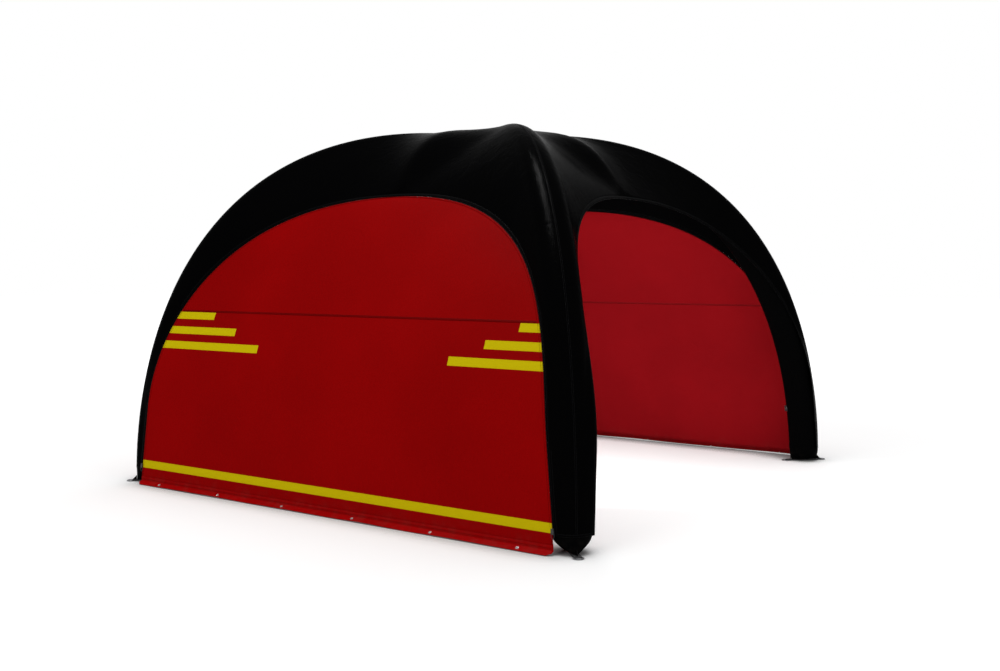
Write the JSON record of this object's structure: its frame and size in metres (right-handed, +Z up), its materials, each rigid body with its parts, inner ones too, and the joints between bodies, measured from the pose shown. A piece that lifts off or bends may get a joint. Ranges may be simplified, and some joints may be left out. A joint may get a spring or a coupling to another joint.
{
  "type": "inflatable tent",
  "caption": "Four-legged inflatable event tent with a sewn roof, zipped side walls, ground hems with eyelets, foot straps with rings and air valves.",
  "frame": {"origin": "on the ground under the crown, midway between the four legs", "axes": "+Z up, +X towards the open side, -Y towards the wall with the yellow bars; the legs stand on the diagonals"},
  "size_m": [4.3419, 4.3754, 2.8512],
  "materials": {
    "black_cloth": "matt coated polyester, black, fine plain weave",
    "red_cloth": "coated polyester, deep red, fine plain weave, with printed yellow bars on one wall",
    "red_hem": "coated polyester ground hem, brighter red",
    "air_film": "smooth grey polyurethane film",
    "zip_nylon": "black nylon coil",
    "webbing": "dark grey woven webbing",
    "ring_steel": "zinc plated steel wire",
    "valve_plastic": "moulded black plastic"
  },
  "bodies": {
    "root": {"crown_patch": "black_cloth", "foot_gusset_back_left": "black_cloth", "foot_gusset_back_right": "black_cloth", "foot_gusset_front_left": "black_cloth", "foot_gusset_front_right": "black_cloth", "foot_strap_back_left": "webbing", "foot_strap_back_right": "webbing", "foot_strap_front_left": "webbing", "foot_strap_front_right": "webbing", "hem_back": "red_hem", "hem_front": "red_hem", "hem_left": "red_hem", "leg_bladder_back_left": "air_film", "leg_bladder_back_right": "air_film", "leg_bladder_front_left": "air_film", "leg_bladder_front_right": "air_film", "leg_sleeve_back_left": "black_cloth", "leg_sleeve_back_right": "black_cloth", "leg_sleeve_front_left": "black_cloth", "leg_sleeve_front_right": "black_cloth", "roof_canopy": "black_cloth", "valve_body_back_left": "valve_plastic", "valve_body_back_right": "valve_plastic", "valve_body_front_left": "valve_plastic", "valve_body_front_right": "valve_plastic", "wall_back": "red_cloth", "wall_front": "red_cloth", "wall_left": "red_cloth", "zip_back": "zip_nylon", "zip_front": "zip_nylon", "zip_left": "zip_nylon", "zip_right": "zip_nylon"},
    "foot_ring_outer_front_right": {"foot_ring_outer_front_right": "ring_steel"},
    "foot_ring_inner_front_right": {"foot_ring_inner_front_right": "ring_steel"},
    "foot_ring_outer_back_right": {"foot_ring_outer_back_right": "ring_steel"},
    "foot_ring_inner_back_right": {"foot_ring_inner_back_right": "ring_steel"},
    "foot_ring_outer_back_left": {"foot_ring_outer_back_left": "ring_steel"},
    "foot_ring_inner_back_left": {"foot_ring_inner_back_left": "ring_steel"},
    "foot_ring_outer_front_left": {"foot_ring_outer_front_left": "ring_steel"},
    "foot_ring_inner_front_left": {"foot_ring_inner_front_left": "ring_steel"},
    "valve_cap_front_right": {"valve_cap_front_right": "valve_plastic"},
    "valve_plunger_front_right": {"valve_plunger_front_right": "valve_plastic"},
    "valve_cap_back_right": {"valve_cap_back_right": "valve_plastic"},
    "valve_plunger_back_right": {"valve_plunger_back_right": "valve_plastic"},
    "valve_cap_back_left": {"valve_cap_back_left": "valve_plastic"},
    "valve_plunger_back_left": {"valve_plunger_back_left": "valve_plastic"},
    "valve_cap_front_left": {"valve_cap_front_left": "valve_plastic"},
    "valve_plunger_front_left": {"valve_plunger_front_left": "valve_plastic"},
    "zip_slider_front_right": {"zip_slider_front_right": "ring_steel"},
    "zip_pull_front_right": {"zip_pull_front_right": "ring_steel"},
    "zip_slider_front_left": {"zip_slider_front_left": "ring_steel"},
    "zip_pull_front_left": {"zip_pull_front_left": "ring_steel"},
    "zip_slider_back_right": {"zip_slider_back_right": "ring_steel"},
    "zip_pull_back_right": {"zip_pull_back_right": "ring_steel"},
    "zip_slider_back_left": {"zip_slider_back_left": "ring_steel"},
    "zip_pull_back_left": {"zip_pull_back_left": "ring_steel"},
    "zip_slider_left_right": {"zip_slider_left_right": "ring_steel"},
    "zip_pull_left_right": {"zip_pull_left_right": "ring_steel"},
    "zip_slider_left_left": {"zip_slider_left_left": "ring_steel"},
    "zip_pull_left_left": {"zip_pull_left_left": "ring_steel"}
  },
  "joints": [
    {"name": "foot_ring_outer_front_right_swing", "type": "hinge", "parent": "root", "child": "foot_ring_outer_front_right", "pos_m": [2.11425, -2.11425, 0.005], "axis": [-0.7071, -0.7071, 0], "range_deg": [0, 110]},
    {"name": "foot_ring_inner_front_right_swing", "type": "hinge", "parent": "root", "child": "foot_ring_inner_front_right", "pos_m": [1.88797, -1.88797, 0.005], "axis": [0.7071, 0.7071, 0], "range_deg": [0, 110]},
    {"name": "foot_ring_outer_back_right_swing", "type": "hinge", "parent": "root", "child": "foot_ring_outer_back_right", "pos_m": [2.11425, 2.11425, 0.005], "axis": [0.7071, -0.7071, 0], "range_deg": [0, 110]},
    {"name": "foot_ring_inner_back_right_swing", "type": "hinge", "parent": "root", "child": "foot_ring_inner_back_right", "pos_m": [1.88797, 1.88797, 0.005], "axis": [-0.7071, 0.7071, 0], "range_deg": [0, 110]},
    {"name": "foot_ring_outer_back_left_swing", "type": "hinge", "parent": "root", "child": "foot_ring_outer_back_left", "pos_m": [-2.11425, 2.11425, 0.005], "axis": [0.7071, 0.7071, 0], "range_deg": [0, 110]},
    {"name": "foot_ring_inner_back_left_swing", "type": "hinge", "parent": "root", "child": "foot_ring_inner_back_left", "pos_m": [-1.88797, 1.88797, 0.005], "axis": [-0.7071, -0.7071, 0], "range_deg": [0, 110]},
    {"name": "foot_ring_outer_front_left_swing", "type": "hinge", "parent": "root", "child": "foot_ring_outer_front_left", "pos_m": [-2.11425, -2.11425, 0.005], "axis": [-0.7071, 0.7071, 0], "range_deg": [0, 110]},
    {"name": "foot_ring_inner_front_left_swing", "type": "hinge", "parent": "root", "child": "foot_ring_inner_front_left", "pos_m": [-1.88797, -1.88797, 0.005], "axis": [0.7071, -0.7071, 0], "range_deg": [0, 110]},
    {"name": "valve_cap_front_right_hinge", "type": "hinge", "parent": "root", "child": "valve_cap_front_right", "pos_m": [1.90637, -1.855, 0.48573], "axis": [0.8645, 0.5016, 0.032], "range_deg": [0, 110]},
    {"name": "valve_plunger_front_right_push", "type": "slide", "parent": "root", "child": "valve_plunger_front_right", "axis": [0.4943, -0.86, 0.1268], "range_m": [0, 0.004], "stiffness_N_per_m": 300},
    {"name": "valve_cap_back_right_hinge", "type": "hinge", "parent": "root", "child": "valve_cap_back_right", "pos_m": [1.855, 1.90637, 0.48573], "axis": [-0.5016, 0.8645, 0.032], "range_deg": [0, 110]},
    {"name": "valve_plunger_back_right_push", "type": "slide", "parent": "root", "child": "valve_plunger_back_right", "axis": [0.86, 0.4943, 0.1268], "range_m": [0, 0.004], "stiffness_N_per_m": 300},
    {"name": "valve_cap_back_left_hinge", "type": "hinge", "parent": "root", "child": "valve_cap_back_left", "pos_m": [-1.90637, 1.855, 0.48573], "axis": [-0.8645, -0.5016, 0.032], "range_deg": [0, 110]},
    {"name": "valve_plunger_back_left_push", "type": "slide", "parent": "root", "child": "valve_plunger_back_left", "axis": [-0.4943, 0.86, 0.1268], "range_m": [0, 0.004], "stiffness_N_per_m": 300},
    {"name": "valve_cap_front_left_hinge", "type": "hinge", "parent": "root", "child": "valve_cap_front_left", "pos_m": [-1.855, -1.90637, 0.48573], "axis": [0.5016, -0.8645, 0.032], "range_deg": [0, 110]},
    {"name": "valve_plunger_front_left_push", "type": "slide", "parent": "root", "child": "valve_plunger_front_left", "axis": [-0.86, -0.4943, 0.1268], "range_m": [0, 0.004], "stiffness_N_per_m": 300},
    {"name": "zip_slider_front_right_slide", "type": "slide", "parent": "root", "child": "zip_slider_front_right", "axis": [-0.1121, 0.0417, 0.9928], "range_m": [0, 0.42]},
    {"name": "zip_pull_front_right_swing", "type": "hinge", "parent": "zip_slider_front_right", "child": "zip_pull_front_right", "pos_m": [1.95161, -2.14463, 0.14536], "axis": [-0.9937, 0, -0.1122], "range_deg": [0, 140]},
    {"name": "zip_slider_front_left_slide", "type": "slide", "parent": "root", "child": "zip_slider_front_left", "axis": [0.1121, 0.0417, 0.9928], "range_m": [0, 0.42]},
    {"name": "zip_pull_front_left_swing", "type": "hinge", "parent": "zip_slider_front_left", "child": "zip_pull_front_left", "pos_m": [-1.95161, -2.14463, 0.14536], "axis": [-0.9937, 0, 0.1122], "range_deg": [0, 140]},
    {"name": "zip_slider_back_right_slide", "type": "slide", "parent": "root", "child": "zip_slider_back_right", "axis": [0.1121, -0.0417, 0.9928], "range_m": [0, 0.42]},
    {"name": "zip_pull_back_right_swing", "type": "hinge", "parent": "zip_slider_back_right", "child": "zip_pull_back_right", "pos_m": [-1.95161, 2.14463, 0.14536], "axis": [0.9937, 0, -0.1122], "range_deg": [0, 140]},
    {"name": "zip_slider_back_left_slide", "type": "slide", "parent": "root", "child": "zip_slider_back_left", "axis": [-0.1121, -0.0417, 0.9928], "range_m": [0, 0.42]},
    {"name": "zip_pull_back_left_swing", "type": "hinge", "parent": "zip_slider_back_left", "child": "zip_pull_back_left", "pos_m": [1.95161, 2.14463, 0.14536], "axis": [0.9937, 0, 0.1122], "range_deg": [0, 140]},
    {"name": "zip_slider_left_right_slide", "type": "slide", "parent": "root", "child": "zip_slider_left_right", "axis": [0.0417, 0.1121, 0.9928], "range_m": [0, 0.42]},
    {"name": "zip_pull_left_right_swing", "type": "hinge", "parent": "zip_slider_left_right", "child": "zip_pull_left_right", "pos_m": [-2.14463, -1.95161, 0.14536], "axis": [0, 0.9937, -0.1122], "range_deg": [0, 140]},
    {"name": "zip_slider_left_left_slide", "type": "slide", "parent": "root", "child": "zip_slider_left_left", "axis": [0.0417, -0.1121, 0.9928], "range_m": [0, 0.42]},
    {"name": "zip_pull_left_left_swing", "type": "hinge", "parent": "zip_slider_left_left", "child": "zip_pull_left_left", "pos_m": [-2.14463, 1.95161, 0.14536], "axis": [0, 0.9937, 0.1122], "range_deg": [0, 140]}
  ]
}
